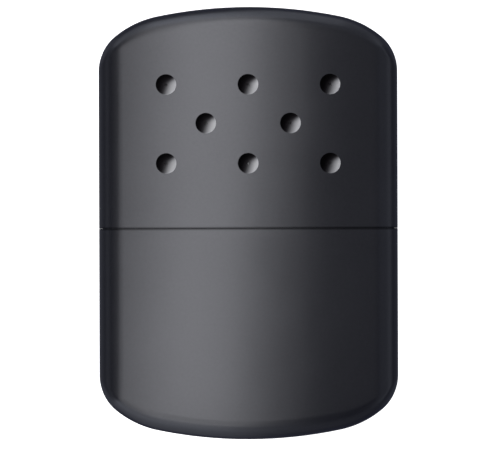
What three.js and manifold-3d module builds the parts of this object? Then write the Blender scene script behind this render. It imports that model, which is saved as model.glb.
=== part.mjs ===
// Catalytic hand warmer: a flat fuel tank packed with cotton, a catalytic burner on its neck, and a vented lid.
// It lies on its back. X runs across, Y from the tank's end to the lid's end, and Z from the back to the front.
// Sizes are in millimetres, and the origin is the middle of the back face.

import * as THREE from "three";
import { mergeVertices } from "three/addons/utils/BufferGeometryUtils.js";
import Module from "manifold-3d";

const wasm = await Module();
wasm.setup();

// Case: the outline seen from the front, then the section across it
const caseWidth = 68.4;
const caseLength = 99;
const caseThickness = 13.4;
const tankLength = 48.15;
const seamGap = 0.3;
const wall = 0.6;
const endRadius = 103;
const shoulderRadius = 22;
const shoulderTurn = 28;
const cornerRadius = 10.3;
const landWidth = 24;
const crownRadius = 140;
const sideEdge = 5.7;
const endEdge = 4.6;

// Vents: bowls pressed into both faces of the lid, each with a small throat
const ventRimRadius = 2.45;
const ventDepth = 1.45;
const ventThroatRadius = 0.8;
const ventLip = 0.45;
const ventOuterSpread = 18.6;
const ventMiddleSpread = 9.6;

// Collar that closes the tank and guides the lid
const collarRise = 7;
const collarDepth = 4;
const collarSheet = 0.5;
const collarEdge = 1.2;
const slideFit = 0.3;
const detentRadius = 1.5;
const detentHeight = 0.18;
const detentSpread = 18;
const detentBelowDeck = 3.2;

// Neck in the deck
const neckSheet = 0.4;
const neckHeight = 5;
const neckStub = 1.6;
const neckFlange = 0.7;
const neckFlangeSheet = 0.5;

// Burner
const burnerWidth = 30;
const burnerRoom = 0.5;
const burnerFit = 0.3;
const skirtSheet = 0.5;
const skirtHeight = 8;
const ledgeWidth = 0.6;
const ledgeSheet = 0.5;
const floorSheet = 0.5;
const floorSlotWidth = 1.6;
const floorSlotMargin = 1.3;
const cageSheet = 0.5;
const cageHeight = 13;
const cageEdge = 2.6;
const cageSlotWidth = 1.9;
const cageBand = 4.2;
const supportSheet = 0.6;
const supportMargin = 1.9;
const supportDrop = 2.6;
const supportBar = 0.7;

// Cotton
const softGap = 0.35;

// Counts
const cornerSteps = 5;
const shoulderSteps = 3;
const endSteps = 3;
const edgeSteps = 5;
const crownSteps = 3;
const collarEdgeSteps = 3;
const ventSides = 12;
const ventSteps = 3;
const ovalSteps = 5;
const cageEdgeSteps = 4;
const slotCount = 7;
const slotSteps = 4;
const supportColumns = 7;
const supportRows = 3;
const wadColumns = 3;
const wadRows = 3;
const wadSides = 10;
const wadRings = 6;

// How far the rows of vents lie from the lid's tip, as shares of the lid's length
const ventRowShares = [0.35, 0.527, 0.704];

// How square a cotton wad is, as the power that its sphere's coordinates take
const wadSquareShare = 0.62;

// One overrun for every cut
const overrun = 1;

// Places worked out from the sizes
const halfWidth = caseWidth / 2;
const halfLength = caseLength / 2;
const halfThickness = caseThickness / 2;
const landHalf = landWidth / 2;
const tankRim = tankLength - halfLength;
const lidRim = tankRim + seamGap;
const lidLength = halfLength - lidRim;
const deckTop = lidRim + collarRise;
const collarInset = wall + slideFit;
const neckTop = deckTop + neckHeight;
const burnerHalfWidth = burnerWidth / 2;
const burnerHalfThickness = halfThickness - ventDepth - ventLip - burnerRoom;
const socketHalfWidth = burnerHalfWidth - skirtSheet;
const socketHalfThickness = burnerHalfThickness - skirtSheet;
const neckHalfWidth = socketHalfWidth - burnerFit;
const neckHalfThickness = socketHalfThickness - burnerFit;
const skirtFoot = deckTop + neckFlangeSheet + burnerFit;
const ledgeFoot = neckTop + burnerFit;
const floorFoot = ledgeFoot + ledgeSheet;
const cageFoot = floorFoot + floorSheet;
const cageTop = cageFoot + cageHeight;

// Materials
const charcoalPaint = { color: 0x4c4d52, roughness: 0.42, metalness: 0.55 };
const plainSteel = { color: 0xb9babc, roughness: 0.34, metalness: 0.9 };
const heatedSteel = { color: 0x9d958a, roughness: 0.4, metalness: 0.85 };
const cotton = { color: 0xebe8df, roughness: 0.95, metalness: 0 };
const glassFibre = { color: 0x8d8b86, roughness: 0.9, metalness: 0 };

const radians = (degrees) => (degrees * Math.PI) / 180;
const steps = (count) => Array.from({ length: count + 1 }, (_, i) => i / count);

// A closed geometry as a solid that can be joined and cut.
function solid(geometry) {
  const bare = geometry.clone();
  bare.deleteAttribute("normal");
  bare.deleteAttribute("uv");
  const merged = mergeVertices(bare);
  const corners = merged.index.array;
  const kept = [];
  for (let i = 0; i < corners.length; i += 3) {
    const [a, b, c] = corners.subarray(i, i + 3);
    if (a !== b && b !== c && c !== a) kept.push(a, b, c);
  }
  const vertProperties = new Float32Array(merged.attributes.position.array);
  const triVerts = new Uint32Array(kept);
  return new wasm.Manifold(new wasm.Mesh({ numProp: 3, vertProperties, triVerts }));
}

// A solid as a named mesh.
function piece(name, form, finish) {
  const { vertProperties, triVerts } = form.getMesh();
  const geometry = new THREE.BufferGeometry();
  geometry.setAttribute("position", new THREE.BufferAttribute(vertProperties, 3));
  geometry.setIndex(new THREE.BufferAttribute(triVerts, 1));
  geometry.computeVertexNormals();
  const mesh = new THREE.Mesh(geometry, new THREE.MeshStandardMaterial({ ...finish, flatShading: true }));
  mesh.name = name;
  return mesh;
}

// A closed body through rings of points. The rings follow each other along +Y and run from +X over +Z to -X.
function loft(rings) {
  const count = rings[0].length;
  const positions = rings.flat().flatMap((p) => [p.x, p.y, p.z]);
  const index = [];
  for (let i = 0; i + 1 < rings.length; i += 1) {
    for (let j = 0; j < count; j += 1) {
      const a = i * count + j;
      const b = i * count + ((j + 1) % count);
      index.push(a, a + count, b + count, a, b + count, b);
    }
  }
  const last = (rings.length - 1) * count;
  for (let j = 1; j + 1 < count; j += 1) {
    index.push(0, j, j + 1, last, last + j + 1, last + j);
  }
  const geometry = new THREE.BufferGeometry();
  geometry.setAttribute("position", new THREE.Float32BufferAttribute(positions, 3));
  geometry.setIndex(index);
  return solid(geometry);
}

// Half the case's thickness at a place across it: a flat land in the middle and a shallow crown to each side.
function crown(across) {
  const past = Math.max(0, Math.abs(across) - landHalf);
  return halfThickness - crownRadius + Math.sqrt(crownRadius ** 2 - past ** 2);
}

// Half of one end's outline, from the side to the tip: an arc at the corner, one at the shoulder and one across the
// end, each tangent to the next. Each station has its place across, its depth from the tip and its outward normal.
function endStations() {
  const turn = radians(shoulderTurn);
  const outer = endRadius - shoulderRadius;
  const inner = shoulderRadius - cornerRadius;
  const along = outer + inner * Math.cos(turn);
  const aside = inner * Math.sin(turn);
  const endTurn = Math.asin((halfWidth - cornerRadius) / Math.hypot(along, aside)) - Math.atan2(aside, along);
  const bend = endTurn + turn;
  const shoulder = { u: outer * Math.sin(endTurn), v: endRadius - outer * Math.cos(endTurn) };
  const corner = { u: shoulder.u + inner * Math.sin(bend), v: shoulder.v - inner * Math.cos(bend) };
  const arc = (centre, radius, from, to, count) =>
    steps(count).map((share) => {
      const angle = from + (to - from) * share;
      const across = Math.sin(angle);
      const up = Math.cos(angle);
      return { u: centre.u + radius * across, v: centre.v - radius * up, across, up };
    });
  return [
    ...arc(corner, cornerRadius, Math.PI / 2, bend, cornerSteps),
    ...arc(shoulder, shoulderRadius, bend, endTurn, shoulderSteps).slice(1),
    ...arc({ u: 0, v: endRadius }, endRadius, endTurn, 0, endSteps).slice(1),
  ];
}

// The ring round the case at one station, a given distance inside its skin, for a tip at height y.
function caseRing(station, tip, inset) {
  const edge = sideEdge * station.across ** 2 + endEdge * station.up ** 2;
  const quarter = steps(edgeSteps).map((share) => {
    const angle = (share * Math.PI) / 2;
    const depth = inset + (edge - inset) * (1 - Math.cos(angle));
    const x = station.u - depth * station.across;
    const y = tip - station.v - depth * station.up;
    return { x, y, z: (crown(x) - inset) * Math.sin(angle) };
  });
  const shore = quarter[edgeSteps];
  const landShare = landHalf / (halfWidth - sideEdge);
  const shares = steps(crownSteps).slice(1).map((share) => 1 - share * (1 - landShare));
  const right = shares.map((share) => {
    const x = shore.x * share;
    return { x, y: shore.y, z: crown(x) - inset };
  });
  const rightHalf = [...quarter, ...right];
  const leftHalf = rightHalf.map((p) => ({ ...p, x: -p.x })).reverse();
  const front = [...rightHalf, ...leftHalf];
  const back = front.slice(1, -1).reverse().map((p) => ({ ...p, z: -p.z }));
  return [...front, ...back];
}

// The outer form of the lid or the tank, a given distance inside its skin: its rim at y = low and its tip at y = high.
function caseForm(low, high, inset) {
  const stations = endStations();
  const rim = { ...stations[0], v: high - low };
  return loft([rim, ...stations].map((station) => caseRing(station, high, inset)));
}

// A straight run of the case's section, with a rounded edge at its top when edge isn't 0.
function caseRun(low, high, inset, edge) {
  const side = (y, depth) => caseRing({ u: halfWidth, v: high - y, across: 1, up: 0 }, high, depth);
  const rounded = steps(collarEdgeSteps).map((share) => {
    const angle = (share * Math.PI) / 2;
    return side(high - edge + edge * Math.sin(angle), inset + edge * (1 - Math.cos(angle)));
  });
  return loft([side(low, inset), ...(edge ? rounded : [side(high, inset)])]);
}

// A form for the lid, turned round to make one for the tank.
function turned(form) {
  return form.rotate([0, 0, 180]);
}

// A flat oval, with its straight sides along X and half circles at its ends.
function oval(halfLong, halfShort) {
  const shape = new THREE.Shape();
  const centre = halfLong - halfShort;
  shape.absarc(centre, 0, halfShort, -Math.PI / 2, Math.PI / 2);
  shape.absarc(-centre, 0, halfShort, Math.PI / 2, (3 * Math.PI) / 2);
  shape.closePath();
  return shape;
}

// A shape drawn across the case and extruded along +Y.
function upright(shape, low, high) {
  const geometry = new THREE.ExtrudeGeometry(shape, {
    depth: high - low,
    bevelEnabled: false,
    curveSegments: ovalSteps,
  });
  geometry.rotateX(-Math.PI / 2);
  geometry.translate(0, low, 0);
  return solid(geometry);
}

function ovalBar(halfLong, halfShort, low, high) {
  return upright(oval(halfLong, halfShort), low, high);
}

// An oval bar that rounds over above its height by the size of its edge.
function ovalCap(halfLong, halfShort, low, high, edge) {
  const geometry = new THREE.ExtrudeGeometry(oval(halfLong - edge, halfShort - edge), {
    depth: high - low,
    bevelEnabled: true,
    bevelThickness: edge,
    bevelSize: edge,
    bevelSegments: cageEdgeSteps,
    curveSegments: ovalSteps,
  });
  geometry.rotateX(-Math.PI / 2);
  geometry.translate(0, low, 0);
  const below = block([-halfLong - overrun, halfLong + overrun], [low - edge - overrun, low], [-halfLong, halfLong]);
  return solid(geometry).subtract(below);
}

// A block between two places on each axis.
function block(x, y, z) {
  const geometry = new THREE.BoxGeometry(x[1] - x[0], y[1] - y[0], z[1] - z[0]);
  geometry.translate((x[0] + x[1]) / 2, (y[0] + y[1]) / 2, (z[0] + z[1]) / 2);
  return solid(geometry);
}

// A profile of [radius, height] points turned round Z.
function turnedProfile(points, sides) {
  const profile = points.map(([r, z]) => new THREE.Vector2(r, z));
  const geometry = new THREE.LatheGeometry(profile, sides);
  geometry.rotateX(Math.PI / 2);
  return solid(geometry);
}

// The places of the vents on the lid's face: three, two and three.
function ventPlaces() {
  const outer = [-ventOuterSpread, 0, ventOuterSpread];
  const middle = [-ventMiddleSpread, ventMiddleSpread];
  return ventRowShares.flatMap((share, row) => {
    const y = halfLength - share * lidLength;
    return (row === 1 ? middle : outer).map((x) => ({ x, y }));
  });
}

// One vent's bowl as an arc of a sphere that passes through the rim and the bottom, grown by a thickness.
function bowlArc(growth, fromRadius) {
  const sphere = (ventRimRadius ** 2 + ventDepth ** 2) / (2 * ventDepth);
  const centre = sphere - ventDepth;
  const radius = sphere + growth;
  const low = Math.asin(fromRadius / radius);
  const high = Math.acos(centre / radius);
  return steps(ventSteps).map((share) => {
    const angle = low + (high - low) * share;
    return [radius * Math.sin(angle), centre - radius * Math.cos(angle)];
  });
}

// The bowls pressed inwards, and what is cut out of them, for both faces.
function vents() {
  const bottom = -ventDepth - ventLip;
  const blank = turnedProfile([...bowlArc(ventLip, 0), [0, 0]], ventSides);
  const cutter = turnedProfile(
    [
      [0, bottom - overrun],
      [ventThroatRadius, bottom - overrun],
      ...bowlArc(0, ventThroatRadius),
      [ventRimRadius, overrun],
      [0, overrun],
    ],
    ventSides,
  );
  const place = (form, side) =>
    ventPlaces().map(({ x, y }) => form.rotate([side < 0 ? 180 : 0, 0, 0]).translate([x, y, side * crown(x)]));
  const both = (form) => wasm.Manifold.union([...place(form, 1), ...place(form, -1)]);
  return { blanks: both(blank), cutters: both(cutter) };
}

function lidShell() {
  const skin = caseForm(lidRim, halfLength, 0);
  const hollow = caseForm(lidRim - overrun, halfLength, wall);
  const { blanks, cutters } = vents();
  return skin.subtract(hollow).add(blanks.intersect(skin)).subtract(cutters);
}

function tankShell() {
  const skin = turned(caseForm(-tankRim, halfLength, 0));
  const hollow = turned(caseForm(-tankRim - overrun, halfLength, wall));
  return skin.subtract(hollow);
}

// The collar's band stands inside the tank's rim and the lid's rim alike. Its deck carries the neck.
function tankCollar() {
  const foot = tankRim - collarDepth;
  const skin = caseRun(foot, deckTop, collarInset, collarEdge);
  const hollow = caseRun(foot - overrun, deckTop - collarSheet, collarInset + collarSheet, collarEdge);
  const mouth = ovalBar(neckHalfWidth + burnerFit, neckHalfThickness + burnerFit, foot, deckTop + overrun);
  const detent = turnedProfile(
    [
      [0, -collarSheet],
      ...steps(ventSteps).map((share) => {
        const radius = detentRadius * (1 - share);
        return [radius, detentHeight * (1 - (radius / detentRadius) ** 2)];
      }),
    ].toSpliced(1, 0, [detentRadius, -collarSheet]),
    ventSides,
  );
  const detents = [-1, 1].flatMap((side) =>
    [-detentSpread, detentSpread].map((x) =>
      detent
        .rotate([side < 0 ? 180 : 0, 0, 0])
        .translate([x, deckTop - detentBelowDeck, side * (crown(x) - collarInset)]),
    ),
  );
  return skin.subtract(hollow).subtract(mouth).add(wasm.Manifold.union(detents));
}

function fillerNeck() {
  const foot = deckTop - collarSheet - neckStub;
  const tube = ovalBar(neckHalfWidth, neckHalfThickness, foot, neckTop);
  const flange = ovalBar(
    neckHalfWidth + neckFlange,
    neckHalfThickness + neckFlange,
    deckTop,
    deckTop + neckFlangeSheet,
  );
  const bore = ovalBar(neckHalfWidth - neckSheet, neckHalfThickness - neckSheet, foot - overrun, neckTop + overrun);
  return tube.add(flange).subtract(bore);
}

// The skirt's ledge rests over the neck's rim and carries the floor plate.
function burnerSkirt() {
  const skirtTop = skirtFoot + skirtHeight;
  const skin = ovalBar(burnerHalfWidth, burnerHalfThickness, skirtFoot, skirtTop);
  const socket = ovalBar(socketHalfWidth, socketHalfThickness, skirtFoot - overrun, ledgeFoot);
  const bore = ovalBar(socketHalfWidth - ledgeWidth, socketHalfThickness - ledgeWidth, skirtFoot, skirtTop);
  const seat = ovalBar(socketHalfWidth, socketHalfThickness, floorFoot, skirtTop + overrun);
  return skin.subtract(socket).subtract(bore).subtract(seat);
}

// The slots' centres across the burner, spread over the straight part of its sides.
function slotPlaces() {
  const straight = neckHalfWidth - neckHalfThickness;
  const pitch = (straight + straight) / slotCount;
  return Array.from({ length: slotCount }, (_, i) => (i - (slotCount - 1) / 2) * pitch);
}

function burnerFloor() {
  const plate = oval(neckHalfWidth, neckHalfThickness);
  const reach = neckHalfThickness - floorSlotMargin - floorSlotWidth / 2;
  plate.holes = slotPlaces().map((x) => {
    const hole = new THREE.Path();
    hole.absarc(x, reach, floorSlotWidth / 2, 0, Math.PI);
    hole.absarc(x, -reach, floorSlotWidth / 2, Math.PI, Math.PI + Math.PI);
    hole.closePath();
    return hole;
  });
  return upright(plate, floorFoot, cageFoot);
}

// The hood's slots have round feet and run over its top from front to back.
function burnerCage() {
  const skin = ovalCap(neckHalfWidth, neckHalfThickness, cageFoot, cageTop - cageEdge, cageEdge);
  const hollow = ovalCap(
    neckHalfWidth - cageSheet,
    neckHalfThickness - cageSheet,
    cageFoot - overrun,
    cageTop - cageEdge,
    cageEdge - cageSheet,
  );
  const slots = slotPlaces().map((x) => {
    const shape = new THREE.Shape();
    shape.absarc(x, cageFoot + cageBand, cageSlotWidth / 2, Math.PI, Math.PI + Math.PI);
    shape.lineTo(x + cageSlotWidth / 2, cageTop + overrun);
    shape.lineTo(x - cageSlotWidth / 2, cageTop + overrun);
    shape.closePath();
    const geometry = new THREE.ExtrudeGeometry(shape, {
      depth: burnerWidth,
      bevelEnabled: false,
      curveSegments: slotSteps,
    });
    geometry.translate(0, 0, -burnerHalfWidth);
    return solid(geometry);
  });
  return skin.subtract(hollow).subtract(wasm.Manifold.union(slots));
}

// The support stands on the floor plate, pierced with rows of windows.
function catalystSupport() {
  const reach = neckHalfWidth - cageSheet - supportMargin;
  const top = cageTop - cageSheet - supportDrop;
  const half = supportSheet / 2;
  const plate = block([-reach, reach], [cageFoot, top], [-half, half]);
  const width = (reach + reach - supportBar) / supportColumns;
  const height = (top - cageFoot - supportBar) / supportRows;
  const windows = [];
  for (let column = 0; column < supportColumns; column += 1) {
    for (let row = 0; row < supportRows; row += 1) {
      const x = -reach + supportBar + column * width;
      const y = cageFoot + supportBar + row * height;
      windows.push(block([x, x + width - supportBar], [y, y + height - supportBar], [-supportSheet, supportSheet]));
    }
  }
  return plate.subtract(wasm.Manifold.union(windows));
}

// The mat is folded over the support, so a slot runs up its middle.
function catalystMat() {
  const inset = cageSheet + softGap;
  const edge = cageEdge - inset;
  const pad = ovalCap(
    neckHalfWidth - inset,
    neckHalfThickness - inset,
    cageFoot + softGap,
    cageTop - inset - edge,
    edge,
  );
  const reach = neckHalfWidth - cageSheet - supportMargin + softGap;
  const top = cageTop - cageSheet - supportDrop + softGap;
  const half = supportSheet / 2 + softGap;
  return pad.subtract(block([-reach, reach], [cageFoot - overrun, top], [-half, half]));
}

// The cotton wads: squarish lumps in rows that fill the tank up to the neck's foot, cut to the tank's round corners.
function cottonWads() {
  const inset = collarInset + collarSheet + softGap;
  const low = inset - halfLength;
  const high = deckTop - collarSheet - neckStub - softGap;
  const reach = halfWidth - inset;
  const pitchX = (reach + reach) / wadColumns;
  const pitchY = (high - low) / wadRows;
  const room = turned(caseForm(-high - overrun, halfLength, inset));
  const half = [pitchX / 2 - softGap / 2, pitchY / 2 - softGap / 2, halfThickness - inset];
  const squared = (value) => Math.sign(value) * Math.abs(value) ** wadSquareShare;
  const wads = [];
  for (let row = 0; row < wadRows; row += 1) {
    for (let column = 0; column < wadColumns; column += 1) {
      const lump = new THREE.SphereGeometry(1, wadSides, wadRings);
      const spots = lump.attributes.position;
      for (let i = 0; i < spots.count; i += 1) {
        const x = squared(spots.getX(i)) * half[0];
        const y = squared(spots.getY(i)) * half[1];
        const z = squared(spots.getZ(i)) * half[2];
        spots.setXYZ(i, x, y, z);
      }
      lump.translate(-reach + (column + 0.5) * pitchX, high - (row + 0.5) * pitchY, 0);
      wads.push(solid(lump).intersect(room));
    }
  }
  return wads;
}

const warmer = new THREE.Group();
warmer.position.z = halfThickness;
warmer.add(
  piece("tank_shell", tankShell(), charcoalPaint),
  piece("tank_collar", tankCollar(), plainSteel),
  piece("filler_neck", fillerNeck(), plainSteel),
  ...cottonWads().map((wad, i) => piece(`cotton_wad_${i + 1}`, wad, cotton)),
  piece("lid_shell", lidShell(), charcoalPaint),
  piece("burner_skirt", burnerSkirt(), plainSteel),
  piece("burner_floor", burnerFloor(), heatedSteel),
  piece("burner_cage", burnerCage(), heatedSteel),
  piece("catalyst_support", catalystSupport(), heatedSteel),
  piece("catalyst_mat", catalystMat(), glassFibre),
);

const part = new THREE.Group();
part.add(warmer);

export default part;
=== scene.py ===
"""A catalytic hand warmer: a drawn tank and a vented lid in satin charcoal, with its burner and cotton."""

import math

import bpy
from mathutils import Euler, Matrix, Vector


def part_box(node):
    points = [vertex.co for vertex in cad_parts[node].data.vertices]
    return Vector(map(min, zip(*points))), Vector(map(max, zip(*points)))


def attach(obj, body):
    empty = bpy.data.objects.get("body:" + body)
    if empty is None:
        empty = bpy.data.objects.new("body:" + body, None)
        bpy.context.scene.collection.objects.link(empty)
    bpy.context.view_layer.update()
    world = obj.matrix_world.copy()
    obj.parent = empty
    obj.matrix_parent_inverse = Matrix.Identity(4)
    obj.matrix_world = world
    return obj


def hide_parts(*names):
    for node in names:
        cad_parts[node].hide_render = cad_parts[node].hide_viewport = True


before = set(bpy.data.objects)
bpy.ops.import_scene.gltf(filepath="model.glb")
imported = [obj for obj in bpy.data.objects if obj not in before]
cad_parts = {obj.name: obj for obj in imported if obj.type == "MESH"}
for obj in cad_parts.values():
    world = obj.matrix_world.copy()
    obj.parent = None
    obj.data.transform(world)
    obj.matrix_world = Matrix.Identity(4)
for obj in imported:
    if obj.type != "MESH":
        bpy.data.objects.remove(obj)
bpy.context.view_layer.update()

# Lengths are in metres, as in the frame
MM = 0.001

# The case, from the frame's own boxes
LID_LOW, LID_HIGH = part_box("lid_shell")
TANK_LOW, TANK_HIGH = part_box("tank_shell")
HALF_WIDTH = LID_HIGH.x
HALF_THICKNESS = LID_HIGH.z / 2
LID_TIP = LID_HIGH.y
TANK_TIP = -TANK_LOW.y

# The seam, drawn finer than the gap between the solids and in the middle of it
SEAM = 0.02 * MM
SEAM_PLACE = (LID_LOW.y + TANK_HIGH.y) / 2
LID_RIM = SEAM_PLACE + SEAM / 2
TANK_RIM = SEAM / 2 - SEAM_PLACE
# How far a painted shade along the seam stays full, and how far it reaches before it fades out
SEAM_SHADE_CORE = 0.12 * MM
SEAM_SHADE_REACH = 0.5 * MM

# How the case is drawn
WALL = 0.6 * MM
END_RADIUS = 103 * MM
SHOULDER_RADIUS = 22 * MM
SHOULDER_TURN = math.radians(28)
CORNER_RADIUS = 10.3 * MM
LAND_HALF = 12 * MM
CROWN_RADIUS = 140 * MM
SIDE_EDGE = 5.7 * MM
END_EDGE = 4.6 * MM
RIM_FILLET = 0.1 * MM
SHEET_FILLET = 0.12 * MM

# The vents, pressed inwards
VENT_ROW_SHARES = (0.357, 0.531, 0.711)
VENT_OUTER_SPREAD = 18.6 * MM
VENT_MIDDLE_SPREAD = 9.6 * MM
VENT_RIM = 2.25 * MM
VENT_DEPTH = 1.25 * MM
VENT_THROAT = 0.2 * MM
VENT_SHEET = 0.45 * MM
VENT_FILLET = 0.14 * MM

# A vent's painted light, kept as an attribute from 0 to 1 across the bowl: which way its painted lit side
# lies, how much painted shadow the bowl's top keeps, and the tones from painted shade to a painted highlight
# of pale metal
LIT_SIDE_ATTRIBUTE = "worn_side"
LIT_TOWARDS = math.radians(-21)
VENT_TOP_SHADOW = 1.0
VENT_LIGHT_TONES = (
    (0.0, (0.0010, 0.0008, 0.0010)),
    (0.25, (0.003, 0.0025, 0.003)),
    (0.4, (0.010, 0.009, 0.010)),
    (0.5, (0.031, 0.030, 0.032)),
    (0.6, (0.100, 0.099, 0.102)),
    (0.7, (0.21, 0.21, 0.215)),
    (0.8, (0.32, 0.32, 0.325)),
    (0.9, (0.42, 0.42, 0.425)),
)

# The collar and the neck
COLLAR_LOW, COLLAR_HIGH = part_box("tank_collar")
COLLAR_INSET = HALF_WIDTH - COLLAR_HIGH.x
COLLAR_SHEET = 0.5 * MM
COLLAR_EDGE = 1.2 * MM
DETENT_SPREAD = 18 * MM
DETENT_BELOW_DECK = 3.2 * MM
DETENT_RADIUS = 1.5 * MM
DETENT_HEIGHT = 0.18 * MM
NECK_LOW, NECK_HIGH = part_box("filler_neck")
NECK_SHEET = 0.4 * MM
NECK_FLANGE = 0.7 * MM
NECK_FLANGE_SHEET = 0.5 * MM
MOUTH_ROOM = 0.3 * MM

# The burner
SKIRT_LOW, SKIRT_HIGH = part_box("burner_skirt")
PLATE_LOW, PLATE_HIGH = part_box("burner_floor")
CAGE_LOW, CAGE_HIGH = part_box("burner_cage")
SUPPORT_LOW, SUPPORT_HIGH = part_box("catalyst_support")
MAT_LOW, MAT_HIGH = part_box("catalyst_mat")
SKIRT_SHEET = 0.5 * MM
LEDGE_WIDTH = 0.6 * MM
LEDGE_SHEET = 0.5 * MM
PLATE_SLOT = 1.6 * MM
PLATE_SLOT_MARGIN = 1.3 * MM
PLATE_BREAK = 0.06 * MM
CAGE_SHEET = 0.5 * MM
CAGE_EDGE = 2.6 * MM
CAGE_SLOT = 1.9 * MM
CAGE_BAND = 4.2 * MM
SLOT_COUNT = 7
SUPPORT_BAR = 0.7 * MM
SUPPORT_BORDER = 0.6 * SUPPORT_BAR
SUPPORT_BREAK = 0.08 * MM
SUPPORT_COLUMNS = 7
SUPPORT_ROWS = 3
SOFT_GAP = 0.35 * MM

# The soft surfaces: how fine they are, how wide their lumps lie and how deep they go
FELT_GRAIN = 0.2 * MM
FELT_LUMP = 0.5 * MM
FELT_DEPTH = 0.25 * MM
COTTON_GRAIN = 0.5 * MM
COTTON_LUMP = 2.2 * MM
COTTON_DEPTH = 0.9 * MM
LUMP_LAYERS = 3
LUMP_LEVEL = 0.9

# How fine the drawn surfaces are
EDGE_STEPS = 14
CORNER_STEPS = 16
SHOULDER_STEPS = 10
END_STEPS = 8
FILLET_STEPS = 3
FACE_PITCH = 0.6 * MM
TANK_ROWS = 12
VENT_CELLS = 6
ROWS_BETWEEN_VENTS = 15
BOWL_STEPS = 9
COLLAR_BAND_STEPS = 26
COLLAR_EDGE_STEPS = 6
DECK_STEPS = 6
OVAL_ARC_STEPS = 24
OVAL_STRAIGHT_STEPS = 28
CAP_SIDE_STEPS = 16
CAP_EDGE_STEPS = 8
SLOT_END_STEPS = 8
PLATE_END_STEPS = 12
BREAK_STEPS = 2
WELD_REACH = 0.001 * MM
GRID_SLACK = 0.1

# How deep the finishes go: the grain of coat, soot and drawn steel, the scale of hot steel, felt and lint
GRAIN_DEPTH = 0.004 * MM
SCALE_DEPTH = 0.006 * MM
FIBRE_DEPTH = 0.12 * MM
LINT_DEPTH = 0.2 * MM

# The sockets of a colour Mix node, by number because its names repeat
MIX_FACTOR, MIX_FIRST, MIX_SECOND, MIX_RESULT = 0, 6, 7, 2


# Materials


class Wire:
    """One output socket, so that shader maths reads as Python expressions."""

    def __init__(self, finish, socket):
        self.finish = finish
        self.socket = socket

    def maths(self, operation, *values):
        return self.finish.node("ShaderNodeMath", {"operation": operation}, dict(enumerate(values)))

    def __add__(self, other):
        return self.maths("ADD", self, other)

    __radd__ = __add__

    def __sub__(self, other):
        return self.maths("SUBTRACT", self, other)

    def __rsub__(self, other):
        return self.maths("SUBTRACT", other, self)

    def __mul__(self, other):
        return self.maths("MULTIPLY", self, other)

    __rmul__ = __mul__

    def __truediv__(self, other):
        return self.maths("DIVIDE", self, other)

    def __rtruediv__(self, other):
        return self.maths("DIVIDE", other, self)

    def __abs__(self):
        return self.maths("ABSOLUTE", self)


class Finish:
    """A material in the making."""

    def __init__(self, name, **constants):
        self.material = bpy.data.materials.new(name)
        self.material.use_nodes = True
        self.tree = self.material.node_tree
        self.shader = self.tree.nodes["Principled BSDF"]
        self.set(**constants)

    def node(self, kind, settings=None, inputs=None, output=0):
        """Adds a node: its settings first, then the values or links of its sockets."""
        made = self.tree.nodes.new(kind)
        for name, value in (settings or {}).items():
            if name == "stops":
                lay_stops(made.color_ramp, value)
            else:
                setattr(made, name, value)
        for name, value in (inputs or {}).items():
            self.feed(made.inputs[name], value)
        return Wire(self, made.outputs[output])

    def feed(self, socket, value):
        if isinstance(value, Wire):
            self.tree.links.new(value.socket, socket)
        else:
            socket.default_value = value

    def set(self, **values):
        for name, value in values.items():
            self.feed(self.shader.inputs[name.replace("_", " ").title().replace("Ior", "IOR")], value)

    def place(self):
        return self.node("ShaderNodeTexCoord", output="Object")

    def along(self, axis):
        """One of the place's numbers, in metres."""
        return self.node("ShaderNodeSeparateXYZ", None, {"Vector": self.place()}, axis)

    def attribute(self, name):
        return self.node("ShaderNodeAttribute", {"attribute_name": name}, output="Fac")

    def stretched(self, *scale):
        return self.node("ShaderNodeMapping", None, {"Vector": self.place(), "Scale": scale})

    def noise(self, scale, detail=4.0, roughness=0.5, vector=None):
        inputs = {"Vector": vector or self.place(), "Scale": scale, "Detail": detail, "Roughness": roughness}
        return self.node("ShaderNodeTexNoise", None, inputs)

    def ramp(self, value, low, high, first=0.0, last=1.0):
        """Maps a value from one range to another, held at both ends."""
        inputs = {"Value": value, "From Min": low, "From Max": high, "To Min": first, "To Max": last}
        return self.node("ShaderNodeMapRange", {"clamp": True}, inputs)

    def mix(self, factor, first, second):
        """Blends two colours, each a wire or red, green and blue."""
        first, second = (c if isinstance(c, Wire) else (*c, 1.0) for c in (first, second))
        inputs = {MIX_FACTOR: factor, MIX_FIRST: first, MIX_SECOND: second}
        return self.node("ShaderNodeMix", {"data_type": "RGBA"}, inputs, MIX_RESULT)

    def colours(self, value, *stops):
        return self.node("ShaderNodeValToRGB", {"stops": stops}, {"Fac": value})

    def bump(self, height, distance, strength):
        inputs = {"Height": height, "Distance": distance, "Strength": strength}
        self.set(normal=self.node("ShaderNodeBump", None, inputs, "Normal"))


def lay_stops(ramp, stops):
    while len(ramp.elements) < len(stops):
        ramp.elements.new(1.0)
    for element, (position, colour) in zip(ramp.elements, stops):
        element.position = position
        element.color = (*colour, 1.0)


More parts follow.
